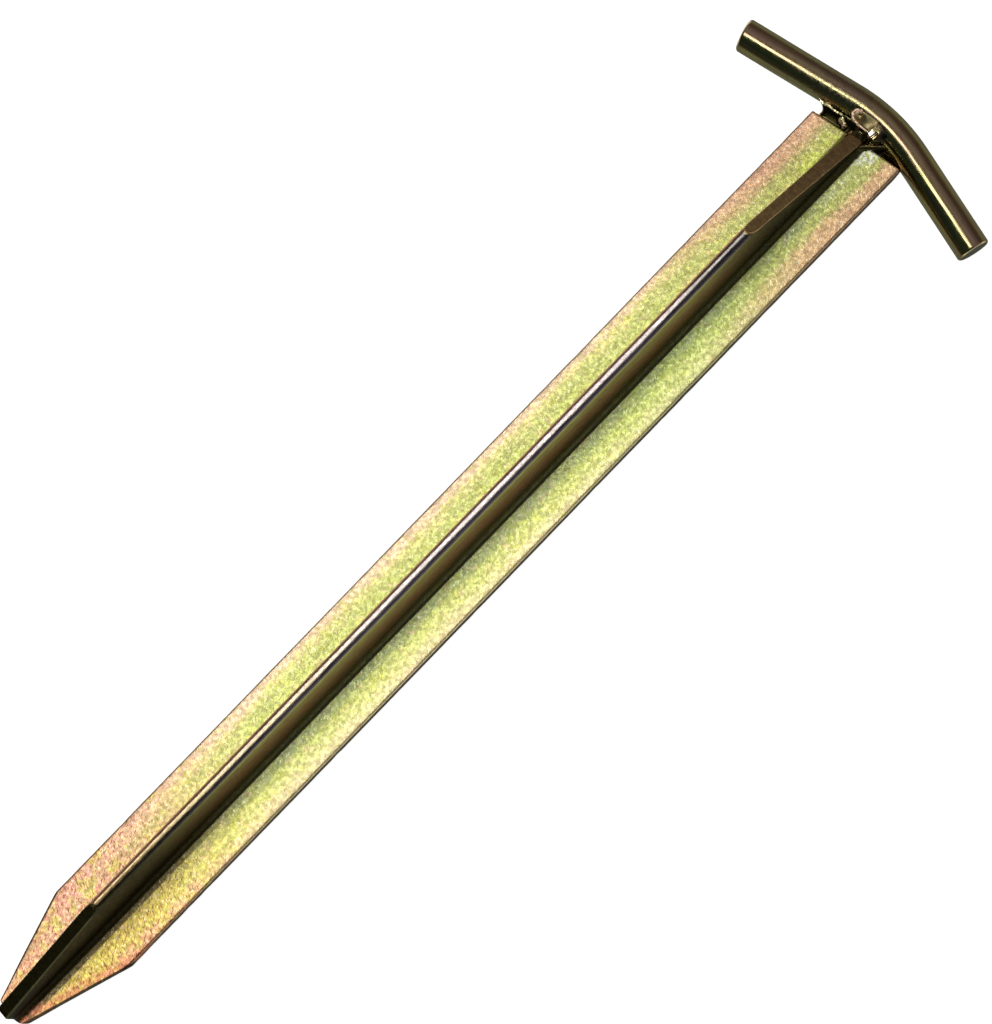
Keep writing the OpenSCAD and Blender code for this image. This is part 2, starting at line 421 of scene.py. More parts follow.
def line(value, *stops):
    """Straight interpolation between (place, result) stops."""
    places, results = zip(*sorted(stops))
    return float(np.interp(value, places, results))


def hump(distance, width):
    return math.exp(-((distance / width) ** 2))


CREASE_EASE = 0.25


def blend_max(heights):
    """The highest of the heights, with the creases between them eased."""
    top = max(heights)
    return top + CREASE_EASE * math.log(sum(math.exp((h - top) / CREASE_EASE) for h in heights))


def to_path(x, y, path):
    """Distance from a point to a path, and how far along the path, from 0 to 1."""
    best = (1e9, 0.0)
    for i, ((ax, ay), (bx, by)) in enumerate(zip(path, path[1:])):
        run = (bx - ax) ** 2 + (by - ay) ** 2
        t = min(max(((x - ax) * (bx - ax) + (y - ay) * (by - ay)) / run, 0.0), 1.0)
        away = math.hypot(x - ax - t * (bx - ax), y - ay - t * (by - ay))
        best = min(best, (away, (i + t) / (len(path) - 1)))
    return best


def sheet_mesh(name, rows, left, right, height, low, tint, columns=70, face=1,
               shift=lambda x, y: 0.0):
    """A closed pad of weld metal under height(x, y).

    tint(x, y) runs from -1, painted shade, to 1, pale flecks and painted highlights; shift(x, y)
    moves a point along Y.
    """
    rings, tints = [], []
    for y in rows:
        across = np.linspace(left(y), right(y), columns)
        rings.append(np.array([(x, y + shift(x, y), face * height(x, y)) for x in across]
                              + [(x, y + shift(x, y), face * low) for x in across[::-1]]))
        tints += [tint(x, y) for x in across] + [0.0] * columns
    points, faces = loft(rings)
    count = 2 * columns
    for start in (0, len(points) - count):
        faces += [(start + i, start + i + 1, start + count - 2 - i, start + count - 1 - i)
                  for i in range(columns - 1)]
    return add_mesh(name, points, faces, 50, tints)


def grain(x, y, size, seed=0.0):
    return noise.noise(Vector((x / size + seed, y / size - seed, seed)))


# Left and right edge and crest height of the nugget, by distance from the middle.
NUGGET_LEFT = ((-6.7, 176.9), (-5, 174.3), (-3.7, 173.0), (-1, 173.4), (1, 173.6), (3, 173.9),
               (5, 174.3), (6.3, 175.5), (7, 176.9))
NUGGET_RIGHT = ((-6.7, 177.5), (-5, 178.7), (-3, 179.3), (-1, 179.5), (1, 179.3), (3, 178.9),
                (5, 178.2), (6.3, 177.7), (7, 177.3))
NUGGET_CREST = ((-6.7, 5.3), (-4.8, 6.7), (-3.9, 7.4), (-1.7, 7.45), (-0.5, 7.2), (1, 7.1),
                (3, 6.8), (4.5, 6.7), (6, 6.4), (7, 5.8))
CREST_SHARE = 0.36  # where the crest lies between the two edges
RIM = ((174.8, -0.5), (174.6, 2.2), (174.9, 4.6), (176.2, 5.9), (177.6, 5.5), (178.3, 4.3))
DIMPLE = ((173.4, -2.9), (176.4, -3.4))
FOOT = ((170.3, -2.0), (172.8, -4.2), (175.6, -7.2))
WEB_LINK = ((170.0, 0.3), (174.6, 0.5))
NUGGET_FLOOR = 1.1


def nugget_body(x, y):
    """Steep towards the tip, with a crest, and a broad face that runs down on to the bar."""
    left, right, crest = line(y, *NUGGET_LEFT), line(y, *NUGGET_RIGHT), line(y, *NUGGET_CREST)
    t = (x - left) / (right - left)
    if t < CREST_SHARE:
        rise = 1 - min(1 - t / CREST_SHARE, 1.0) ** 4
        return 3.4 + (crest - 3.4) * math.sqrt(max(rise, 0.0)) + min(t, 0) * 9
    down = (t - CREST_SHARE) / (1 - CREST_SHARE)
    foot = bar_top(right, y) + 0.10
    return crest + (foot - crest) * down ** 1.35 - 0.3 * hump(t - 1.0, 0.05) - max(t - 1, 0) * 6


def nugget_height(x, y):
    body = nugget_body(x, y)
    body += 0.45 * hump(to_path(x, y, RIM)[0], 0.36) * (1 + 0.7 * grain(x, y, 1.1))
    body -= 1.0 * hump(math.hypot((x - 176.5) / 1.15, (y - 3.5) / 1.7), 1.0)
    body -= 0.22 * hump(to_path(x, y, DIMPLE)[0], 0.28)
    away, share = to_path(x, y, FOOT)
    foot = 5.6 - 1.4 * share - 0.55 * (away / 0.85) ** 2
    away, share = to_path(x, y, WEB_LINK)
    link = 7.15 - 1.5 * share - 0.5 * (away / 1.5) ** 2.5
    skin = 0.04 * grain(x, y, 1.6, 3.0) + 0.01 * grain(x, y, 0.8, 8.0)
    return blend_max([body, foot, link, NUGGET_FLOOR]) + skin


def nugget_bare(x, y):
    """Painted highlights along the rim, at its end and on the crest, and painted shade in the
    hollow, on the short arm's side, round the foot, towards the web, over the face and in the
    crease against the bar.
    """
    # Painted highlights on the rim, at its end and on the crest.
    rim_highlight = 1.1 * hump(to_path(x, y, RIM)[0] * (1 - 0.9 * grain(x, y, 0.9, 6.0)), 0.38)
    rim_highlight = max(rim_highlight, 1.1 * hump(math.hypot(x - 177.3, y - 5.4), 0.8))
    rim_highlight = max(rim_highlight, 0.8 * hump(math.hypot((x - 175.3) / 1.2, (y + 2.3) / 0.8), 0.9))
    # Painted shade in the hollow, on the short arm's side, round the foot, towards the web, over
    # the face and in the crease against the bar.
    hollow = 0.8 * hump(math.hypot((x - 176.5) / 1.4, (y - 3.0) / 2.0), 1.0)
    shade = hump(math.hypot((x - 177.2) / 2.2, (y + 5.4) / 2.0), 1.1)
    foot = 0.8 * hump(to_path(x, y, FOOT)[0] - 1.0, 0.7)
    link = 0.9 * hump(to_path(x, y, WEB_LINK)[0], 1.8)
    face = 0.88 * hump(math.hypot((x - 177.9) / 2.6, (y - 1.0) / 3.2), 1.0)
    edge = hump(line(y, *NUGGET_RIGHT) - 0.05 - x, 0.6)
    return rim_highlight - 0.95 * max(1 - rim_highlight, 0) * max(hollow, shade, foot, link, face, edge)


def nugget_mesh():
    """The last pool of the weld: over the web's end and the bar's side, with a foot."""
    rows = np.arange(-8.6, 7.7, 0.15)
    return sheet_mesh("nugget_weld", rows, lambda y: 169.6,
                      lambda y: line(y, *NUGGET_RIGHT) + 0.5, nugget_height, 0.8, nugget_bare, 96)


BAR_FLANK = 4.55  # from the bar's axis to where the welds beside it meet the bar


def gap_share(x, y):
    """0 at the section's end and 1 where the bead meets the bar."""
    return (x - head_end(y)) / (bar_x(y) - BAR_FLANK - head_end(y))


END_FALL = 8  # how steeply the welds sink inside the section's end
GAP_CREASE = 0.16  # the bead's lowest line, as a share of the gap
GAP_BLOBS = ((172.7, 7.2, 0.75, 0.8), (172.1, 5.6, 0.6, 1.1))  # x, y, radius and height


def gap_height(x, y):
    """A hollow bead with a crease, and a thin torn lip along the bar."""
    t = gap_share(x, y)
    hollow = 3.4 - 1.6 * max(t, 0.0) / GAP_CREASE + END_FALL * min(t, 0.0)
    if t > GAP_CREASE:
        hollow = 1.8 + 2.4 * (t - GAP_CREASE) / (1 - GAP_CREASE)
    torn = 0.55 + 0.9 * grain(x * 0.3, y, 0.8, 5.0)
    lip = 0.42 * hump(t - 0.80 - 0.05 * grain(0, y, 2.2), 0.055) * max(torn, 0.0)
    blobs = sum(h * hump(math.hypot(x - bx, y - by), r) for bx, by, r, h in GAP_BLOBS)
    return min(hollow, 4.3) + lip + blobs


def gap_bare(x, y):
    # Painted glints on the torn lip and the blobs, paler at the outer end, and painted shade over
    # the rest of the bead.
    t = gap_share(x, y)
    lip = hump(t - 0.80 - 0.05 * grain(0, y, 2.2), 0.045) * (0.9 + 1.2 * grain(x, y, 0.6, 2.0))
    blobs = sum(hump(math.hypot(x - bx, y - by), r) for bx, by, r, _ in GAP_BLOBS)
    pale = max(lip if y > 7.5 else 0.0, 0.8 * blobs)
    edge = 0.5 * float(smooth_step(14.3, 14.9, y))
    return max(pale, edge) if max(pale, edge) > 0.15 else -0.9


def gap_end_curve(x, y):
    """The bead's outer end is hollow, and runs out along the bar."""
    t = min(max(gap_share(x, HALF_W), 0.0), 1.25)
    bite = 1.9 * math.sqrt(math.sin(math.pi * min(t, 1) ** 0.85))
    return (2.9 * t**4 - bite) * float(smooth_step(10.5, 15, y))


def gap_bead_mesh():
    rows = np.append(np.arange(0.6, HALF_W - 0.1, 0.15), HALF_W - 0.05)
    return sheet_mesh("gap_fill_weld", rows, lambda y: head_end(y) - 0.6,
                      lambda y: bar_x(y) - 3.6, gap_height, 0.6, gap_bare, 84,
                      shift=gap_end_curve)


def seam_height(x, y):
    t = gap_share(x, y)
    return 1.9 + 1.7 * min(max(t, 0), 1) + END_FALL * min(t, 0) + 0.03 * grain(x, y, 1.2)


def side_seam_mesh():
    """The thin seam on the short arm's side, painted dark as shade."""
    rows = np.arange(-14.1, -3.0, 0.3)
    return sheet_mesh("side_seam_weld", rows, lambda y: head_end(y) - 0.4,
                      lambda y: bar_x(y) - 3.8, seam_height, 1.2, lambda x, y: -0.7, 24)


def back_height(x, y):
    """Height behind the flange's back: a row of overlapping ripples."""
    middle = head_end(y) + 1.4
    crown = 0.85 * (1 - ((x - middle) / 2.9) ** 2)
    ripple = 0.16 * abs(math.sin(math.pi * (y + 0.12 * (x - middle) ** 2) / 1.9))
    return crown + ripple - 0.9 * float(smooth_step(9.0, 10.8, abs(y)))


def back_bead_mesh():
    """The bead along the back, sunk in the bevel."""
    rows = np.arange(-10.8, 10.9, 0.2)
    return sheet_mesh("back_weld", rows, lambda y: head_end(y) - 1.6,
                      lambda y: head_end(y) + 4.3, back_height, -1.6, lambda x, y: 0.25, 40, -1)


# ---------------------------------------------------------------- node materials
def fill_ramp(node, stops):
    """Puts (place, colour) stops, in order of place, on a colour ramp node."""
    elements = node.color_ramp.elements
    while len(elements) < len(stops):
        elements.new(0.5)
    for element, (place, colour) in zip(elements, stops):
        element.position = place
        element.color = (*colour, 1)


class Shader:
    """A material and short ways to wire its nodes. Sockets are passed as they are."""

    def __init__(self, name):
        self.material = bpy.data.materials.new(name)
        self.material.use_nodes = True
        self.tree = self.material.node_tree
        self.tree.nodes.clear()
        output = self.tree.nodes.new("ShaderNodeOutputMaterial")
        self.surface = self.tree.nodes.new("ShaderNodeBsdfPrincipled")
        self.link(self.surface.outputs[0], output.inputs["Surface"])
        place = self.tree.nodes.new("ShaderNodeTexCoord").outputs["Object"]
        self.place = self.vector("SCALE", place, scale=1 / MM)  # millimetres
        self.x, self.y, self.z = self.split(self.place)

    def link(self, source, target):
        self.tree.links.new(source, target)

    def feed(self, value, target):
        """A socket is linked, and a plain value is set."""
        if isinstance(value, bpy.types.NodeSocket):
            self.link(value, target)
        else:
            target.default_value = value

    def vector(self, operation, a, b=None, scale=None):
        node = self.tree.nodes.new("ShaderNodeVectorMath")
        node.operation = operation
        self.feed(a, node.inputs[0])
        if b is not None:
            self.feed(b, node.inputs[1])
        if scale is not None:
            node.inputs["Scale"].default_value = scale
        return node.outputs[0]

    def split(self, vector):
        """The three parts of a vector."""
        node = self.tree.nodes.new("ShaderNodeSeparateXYZ")
        self.link(vector, node.inputs[0])
        return node.outputs

    def facing(self):
        """The three parts of the surface's own direction."""
        return self.split(self.tree.nodes.new("ShaderNodeNewGeometry").outputs["Normal"])

    def math(self, operation, a, b=0.0, clamp=False):
        node = self.tree.nodes.new("ShaderNodeMath")
        node.operation = operation
        node.use_clamp = clamp
        self.feed(a, node.inputs[0])
        self.feed(b, node.inputs[1])
        return node.outputs[0]

    def span(self, value, low, high, to_low=0.0, to_high=1.0):
        """Maps value from low..high to to_low..to_high, smoothly and held at both ends."""
        node = self.tree.nodes.new("ShaderNodeMapRange")
        node.interpolation_type = "SMOOTHSTEP"
        self.feed(value, node.inputs["Value"])
        node.inputs["From Min"].default_value = low
        node.inputs["From Max"].default_value = high
        node.inputs["To Min"].default_value = to_low
        node.inputs["To Max"].default_value = to_high
        return node.outputs[0]

    def times(self, *parts):
        """The product of sockets or numbers."""
        return functools.reduce(lambda a, b: self.math("MULTIPLY", a, b), parts)

    def plus(self, a, b):
        return self.math("ADD", a, b)

    def minus(self, a, b):
        return self.math("SUBTRACT", a, b)

    def noise(self, size, detail=2.0, stretch=(1, 1, 1), shift=0.0, place=None):
        """Noise whose lumps measure about size millimetres, longer by stretch."""
        node = self.tree.nodes.new("ShaderNodeTexNoise")
        place = self.vector("MULTIPLY", place or self.place, [1 / s for s in stretch])
        if shift:
            place = self.vector("ADD", place, (shift, shift * 1.7, -shift))
        self.link(place, node.inputs["Vector"])
        node.inputs["Scale"].default_value = 1 / size
        node.inputs["Detail"].default_value = detail
        return node.outputs["Fac"]

    def ramp(self, value, stops):
        """A smooth colour ramp over 0..1 from (place, colour) stops."""
        node = self.tree.nodes.new("ShaderNodeValToRGB")
        node.color_ramp.interpolation = "EASE"
        fill_ramp(node, stops)
        self.feed(value, node.inputs[0])
        return node.outputs[0]

    def mix(self, share, a, b):
        """Colour a where the share is 0, and colour b where it is 1."""
        node = self.tree.nodes.new("ShaderNodeMix")
        node.data_type = "RGBA"
        self.feed(share, node.inputs["Factor"])
        first, second = [socket for socket in node.inputs if socket.type == "RGBA"]
        for value, socket in ((a, first), (b, second)):
            self.feed((*value, 1) if isinstance(value, tuple) else value, socket)
        return [socket for socket in node.outputs if socket.type == "RGBA"][0]

    def bump(self, height, distance, normal=None):
        """Distance is the height in millimetres that 0..1 stands for."""
        node = self.tree.nodes.new("ShaderNodeBump")
        node.inputs["Distance"].default_value = distance * MM
        self.feed(height, node.inputs["Height"])
        if normal is not None:
            self.link(normal, node.inputs["Normal"])
        return node.outputs[0]

    def finish(self, colour, roughness, normal, metallic=1.0):
        self.feed(colour, self.surface.inputs["Base Color"])
        self.feed(roughness, self.surface.inputs["Roughness"])
        self.link(normal, self.surface.inputs["Normal"])
        self.feed(metallic, self.surface.inputs["Metallic"])
        return self.material


def tone(red, green, blue):
    """A colour given as it looks on a screen, 0 to 255, as the linear value that nodes take."""
    return tuple((c / 255) ** 2.2 for c in (red, green, blue))


def stretched_noise(s, size, stretch, angle, shift):
    """Noise drawn out by stretch along a line at that angle in degrees from X."""
    turn = s.tree.nodes.new("ShaderNodeVectorRotate")
    turn.rotation_type = "Z_AXIS"
    turn.inputs["Angle"].default_value = math.radians(-angle)
    s.link(s.place, turn.inputs["Vector"])
    return s.noise(size, stretch=(stretch, 1, 1), shift=shift, place=turn.outputs[0])


def flange_colour(s):
    """Bands along the flange: peach edges, yellow-green between, pinker towards the tip."""
    drift = s.noise(8, 2, stretch=(3, 1, 1))
    ragged = s.noise(1.9, 3, shift=4)
    wander = s.plus(s.times(drift, 5.0), s.times(ragged, 3.6))
    across = s.plus(s.y, s.minus(wander, 4.3))
    place = s.math("DIVIDE", s.plus(across, 15.0), 30.0, clamp=True)
    bands = s.ramp(place, [
        (0.00, tone(226, 208, 160)), (0.08, tone(232, 222, 160)), (0.15, tone(214, 214, 134)),
        (0.24, tone(206, 212, 124)), (0.31, tone(190, 200, 128)), (0.62, tone(216, 214, 120)),
        (0.72, tone(202, 208, 120)), (0.82, tone(206, 210, 128)), (0.89, tone(226, 216, 140)),
        (0.94, tone(238, 208, 170)), (1.00, tone(236, 204, 168))])
    rosy = s.ramp(place, [
        (0.00, tone(228, 160, 122)), (0.10, tone(234, 180, 130)), (0.17, tone(212, 194, 96)),
        (0.30, tone(206, 182, 90)), (0.62, tone(232, 184, 132)), (0.75, tone(230, 170, 142)),
        (0.90, tone(232, 172, 148)), (1.00, tone(220, 160, 130))])
    tip = s.span(s.plus(s.x, s.times(ragged, 26.0)), -48, -125)
    colour = s.mix(tip, bands, rosy)
    # Pink clouds and yellow-green patches break up both.
    patches = s.times(tip, s.span(s.noise(3.4, 2, shift=101), 0.50, 0.62), 0.75)
    colour = s.mix(patches, colour, tone(222, 206, 104))
    clouds = s.times(s.span(s.noise(2.6, 2, shift=9), 0.54, 0.70), 0.40)
    colour = s.mix(clouds, colour, tone(238, 196, 160))
    greens = s.times(s.span(s.noise(2.0, 2, shift=15), 0.54, 0.68), 0.42)
    colour = s.mix(greens, colour, tone(208, 210, 92))
    # A darker seam of rolling scale runs along the long arm's side.
    from_seam = s.minus(s.plus(s.y, s.times(ragged, 2.0)), 9.7)
    seam = s.times(s.span(s.math("ABSOLUTE", from_seam), 1.6, 0.4),
                   s.span(s.noise(3, 2, stretch=(4, 1, 1), shift=51), 0.4, 0.62), 0.45)
    colour = s.mix(seam, colour, tone(172, 176, 104))
    # Towards the head it is browner and duller, greener on one side, and pinkest at the edges.
    green_side = s.times(s.span(s.x, 20, 110), s.span(s.y, 2.0, -4.0), 0.40)
    colour = s.mix(green_side, colour, tone(168, 200, 104))
    colour = s.mix(s.span(s.x, 90, 158, 0.0, 0.50), colour, tone(162, 152, 92))
    edges = s.times(s.span(s.x, 90, 150), s.span(s.math("ABSOLUTE", across), 8.0, 11.5), 0.6)
    colour = s.mix(edges, colour, tone(224, 162, 140))
    by_weld = s.times(s.span(s.x, 144, 158), s.span(across, 9.0, 6.0), s.span(s.y, 0.0, 2.0),
                      s.span(s.noise(2.2, 2, shift=111), 0.35, 0.60), 0.55)
    return s.mix(by_weld, colour, tone(208, 224, 88))


def web_colour_and_shade(s):
    """The web's sides: olive by the edge, red-brown, then nearly black by the root; the darkening
    towards the root is painted shade.
    """
    height = s.plus(s.z, s.times(s.noise(6, 2, stretch=(4, 1, 1)), 6.0))
    web = s.ramp(s.span(height, 7, 34), [
        (0.0, tone(96, 86, 54)), (0.3, tone(120, 92, 58)), (0.6, tone(154, 112, 74)),
        (0.85, tone(168, 156, 96)), (1.0, tone(190, 182, 110))])
    stain = s.times(s.span(s.noise(1.7, 3, stretch=(3, 1, 1), shift=21), 0.45, 0.68),
                    s.span(height, 30, 25, 0.2, 0.62))
    web = s.mix(stain, web, tone(142, 72, 52))
    # Painted shade darkens the web towards the head and towards the tip.
    web = s.mix(s.span(s.x, 100, 142, 0.0, 0.92), web, tone(38, 32, 22))
    return s.mix(s.span(s.x, -60, -120, 0.0, 0.95), web, tone(36, 38, 24))


def on_slope(s, end_x, end_z, run, inward):
    """1 on the web's slope at one end, which rises from end_z over that run; inward is 1 or -1."""
    from_end = s.times(s.minus(s.x, end_x), inward)
    slope_z = s.plus(s.times(from_end, (SECTION_H - end_z) / run), end_z)
    return s.span(s.minus(slope_z, s.z), 0.45, 0.15)


WEB_EDGE = (SECTION_H - 0.8, SECTION_H - 0.25)  # the web's edge begins between these heights


def mottled(s, colour, near_tip):
    """Fine mottle: green specks, pale painted glints, and by the tip short crossing marks.

    Gives the colour, the mottle's own height, and the shares of dark specks and of pale painted
    glints.
    """
    specks = stretched_noise(s, 0.46, 1.8, 44, 3)
    marks = s.math("MINIMUM", stretched_noise(s, 0.36, 5.0, 30, 3),
                   stretched_noise(s, 0.36, 5.0, 72, 8))
    mottle = s.mix(near_tip, specks, s.plus(marks, 0.03))
    at_edge = s.times(s.span(s.math("ABSOLUTE", s.y), 10.5, 13.0), s.span(s.x, -110, -60), 0.6)
    depth = s.times(s.span(s.noise(3.4, 2, shift=61), 0.36, 0.62, 0.22, 0.66),
                    s.minus(1.0, at_edge))
    depth = s.math("MAXIMUM", depth, s.times(near_tip, 0.95))
    dark = s.times(s.span(mottle, 0.50, 0.33), depth)
    colour = s.mix(dark, colour, s.mix(near_tip, tone(146, 142, 88), tone(150, 92, 66)))
    # Pale specks are painted glints.
    light = s.span(stretched_noise(s, 0.5, 1.8, 44, 11), 0.54, 0.70)
    return s.mix(s.times(light, 0.52), colour, tone(255, 250, 212)), mottle, dark, light


def beside_root(s, colour, near_tip, light):
    """Greyer beside the root on the short arm's side, a painted shade from the web with pale
    painted glints among its specks, and darkest towards the tip.
    """
    # Painted shade of the web on the flange beside the root, its pale specks painted glints.
    painted_web_shade = s.times(s.span(s.y, -7.2, -5.2), s.span(s.y, -1.0, -2.0),
                   s.span(s.noise(3.6, 2, shift=31), 0.35, 0.6),
                   s.span(near_tip, 0.0, 1.0, 1.0, 0.25), 0.45)
    colour = s.mix(painted_web_shade, colour, s.mix(light, tone(170, 182, 140), tone(244, 246, 232)))
    root_line = s.times(s.span(s.y, -5.5, -5.1), s.span(s.y, -1.4, -2.2), near_tip, 0.85)
    return s.mix(root_line, colour, s.mix(light, tone(76, 68, 54), tone(138, 128, 108)))


def web_and_walls(s, colour, upward):
    """The web's sides, painted shade at their root, and painted shade on the flange's rolled and
    cut walls.
    """
    on_web = s.times(s.span(s.z, 5.0, 6.4), s.span(s.math("ABSOLUTE", s.y), 3.6, 2.9))
    colour = s.mix(on_web, colour, web_colour_and_shade(s))
    # Painted shade in the root fillet on the short arm's side.
    painted_root_shade = s.times(s.span(s.y, -4.05, -3.65), s.span(s.z, 6.4, 5.0),
                     s.span(s.y, -1.0, -1.8), 0.9)
    colour = s.mix(painted_root_shade, colour, tone(54, 50, 34))
    # The flange's walls, facing sideways, get painted shade.
    wall = s.times(s.span(upward, 0.70, 0.40), s.span(s.z, 4.02, 3.9))
    return s.mix(wall, colour, tone(96, 84, 78))


def weld_bloom(s, colour):
    """Grey bloom on the flange beside the weld's foot."""
    bloom = s.times(s.span(s.plus(s.x, s.y), 160.5, 162.5), s.span(s.y, -8.8, -7.4),
                    s.span(s.noise(1.1, 2, shift=81), 0.38, 0.58), s.span(s.z, 4.6, 4.2),
                    s.span(s.y, -3.0, -4.5, 0.0, 0.75))
    return s.mix(bloom, colour, tone(226, 230, 214))


def web_edge(s, colour, upward):
    """The web's edge: pale worn metal along its top that also carries a painted highlight, painted
    shade and sheen on its rounded sides, and dull at both ends with painted light and shade.
    """
    drift = s.noise(9, 2, stretch=(3, 1, 1), shift=41)
    cream = s.span(s.plus(s.x, s.times(drift, 60.0)), 40, -70)
    pale = s.mix(cream, tone(200, 188, 184), tone(204, 186, 146))
    by_tip = s.span(s.x, -60, -125)
    spots = s.span(s.noise(0.9, 2, stretch=(2, 1, 1), shift=91), 0.40, 0.60)
    # By the tip, painted light on the long arm's side of the edge and painted shade on the other,
    # with spots of wear.
    tip_painted_light_and_wear = s.mix(s.span(s.y, 0.35, 0.10), tone(212, 182, 140), tone(70, 62, 44))
    tip_painted_light_and_wear = s.mix(s.times(spots, 0.5), tip_painted_light_and_wear, tone(140, 116, 84))
    pale = s.mix(by_tip, pale, tip_painted_light_and_wear)
    # Near the head the edge is dark, with a thin painted highlight stripe.
    painted_highlight_stripe = s.span(s.math("ABSOLUTE", s.minus(s.y, 0.15)), 0.40, 0.15)
    dull = s.mix(painted_highlight_stripe, tone(84, 80, 74), tone(160, 156, 150))
    pale = s.mix(s.span(s.x, 92, 116), pale, dull)
    colour = s.mix(s.span(s.z, *WEB_EDGE), colour, pale)
    # Painted shade on the rounded side towards the short arm, and painted sheen on the long arm's
    # side.
    wavering = s.plus(upward, s.times(s.noise(5, 2, stretch=(3, 1, 1)), 0.16))
    painted_edge_shade_and_sheen = s.times(s.span(wavering, 1.04, 0.97), s.span(wavering, 0.42, 0.66),
                     s.span(s.z, 28.2, 28.6))
    bluish = s.mix(by_tip, tone(84, 80, 90), tone(64, 62, 42))
    return s.mix(painted_edge_shade_and_sheen, colour, s.mix(s.span(s.y, -0.3, 0.3), bluish, tone(206, 150, 120)))


def head_slope(s, colour):
    """The slope at the head was ground before plating, and is brown with a few bright ticks."""
    cut = on_slope(s, HEAD_X, HEAD_H, HEAD_SLOPE, -1)
    lines = stretched_noise(s, 0.5, 7, 84, 17)
    face = s.mix(s.span(lines, 0.35, 0.65), tone(186, 158, 104), tone(202, 172, 118))
    face = s.mix(s.span(s.x, 142, 168, 0.0, 0.4), face, tone(146, 116, 82))
    ticks = s.times(s.span(stretched_noise(s, 0.6, 3.5, 84, 71), 0.65, 0.72), 0.75)
    return s.mix(cut, colour, s.mix(ticks, face, tone(246, 226, 190)))


def cut_tip(s, colour, dark):
    """The tip's plan was sheared, with a dark rim and coppery flanks; its slope is black, with a
    painted highlight along its edge on the short arm's side.
    """
    width = s.times(s.minus(s.x, TIP_X), (HALF_W - TIP_HALF_W) / TIP_TAPER)
    inside = s.minus(s.plus(width, TIP_HALF_W), s.math("ABSOLUTE", s.y))
    copper = s.times(s.span(inside, 4.5, 1.2), s.span(s.y, 2.0, -5.0, 0.2, 0.75),
                     s.span(s.z, 4.6, 4.2), s.span(s.noise(1.6, 3, shift=121), 0.30, 0.55))
    colour = s.mix(copper, colour, s.mix(dark, tone(218, 138, 104), tone(128, 62, 42)))
    colour = s.mix(s.span(inside, 0.75, 0.35), colour, tone(70, 56, 44))
    cut = on_slope(s, TIP_X, TIP_H, TIP_SLOPE, 1)
    # The slope is black, with a painted highlight as an olive line along its edge on the short
    # arm's side.
    face = s.mix(s.span(s.y, -1.3, -1.6), tone(52, 48, 30), tone(120, 118, 82))
    return s.mix(cut, colour, face)


def profile_material():
    s = Shader("yellow_passivated_rolled_zinc")
    near_tip = s.span(s.x, -70, -120)
    upward = s.facing()[2]
    colour, mottle, dark, light = mottled(s, flange_colour(s), near_tip)
    colour = beside_root(s, colour, near_tip, light)
    colour = web_and_walls(s, colour, upward)
    colour = weld_bloom(s, colour)
    colour = web_edge(s, colour, upward)
    colour = head_slope(s, colour)
    colour = cut_tip(s, colour, dark)
    roughness = s.times(s.span(s.noise(1.2, 2, shift=3), 0.3, 0.7, 0.38, 0.52),
                        s.span(s.z, *WEB_EDGE, 1.0, 0.8))
    normal = s.bump(s.noise(1.3, 2, shift=8), 0.09, normal=s.bump(mottle, 0.05))
    return s.finish(colour, roughness, normal)


ARM_DROP = 0.2235  # how far an arm drops back for each millimetre that it runs out


def bar_material():
    s = Shader("yellow_passivated_drawn_zinc")
    # Straightens both arms, so that the drawing marks run along them.
    bent = s.plus(s.x, s.times(s.math("ABSOLUTE", s.y), ARM_DROP))
    joined = s.tree.nodes.new("ShaderNodeCombineXYZ")
    for value, socket in zip((bent, s.y, s.z), joined.inputs):
        s.link(value, socket)
    along = joined.outputs[0]
    lines = s.noise(0.34, 2, stretch=(1, 60, 1), place=along)
    streaks = s.noise(0.9, 2, stretch=(1, 22, 1), place=along, shift=12)
    colour = s.mix(s.span(streaks, 0.35, 0.65), tone(222, 208, 146), tone(208, 176, 148))
    stain = s.times(s.span(s.noise(1.8, 3, shift=2), 0.50, 0.72), 0.22)
    colour = s.mix(stain, colour, tone(130, 112, 78))
    # Heat by the weld has left the long arm's side of the bend dull and speckled.
    heat = s.times(s.span(s.y, -2, 5), s.span(s.y, 34, 16))
    dull = s.times(heat, s.span(s.noise(0.7, 2, shift=19), 0.42, 0.62))
    colour = s.mix(s.times(dull, 0.45), colour, tone(160, 158, 134))
    roughness = s.span(s.noise(1.4, 3, shift=6), 0.3, 0.7, 0.10, 0.19)
    roughness = s.plus(roughness, s.times(dull, 0.16))
    normal = s.bump(lines, 0.018)
    normal = s.bump(s.times(s.noise(0.8, 2, shift=23), heat), 0.03, normal=normal)
    # The ends were sawn, and are duller.
    sawn = s.span(s.math("ABSOLUTE", s.facing()[1]), 0.80, 0.93)
    colour = s.mix(sawn, colour, tone(104, 104, 88))
    roughness = s.plus(roughness, s.times(sawn, 0.2))
    return s.finish(colour, roughness, normal)


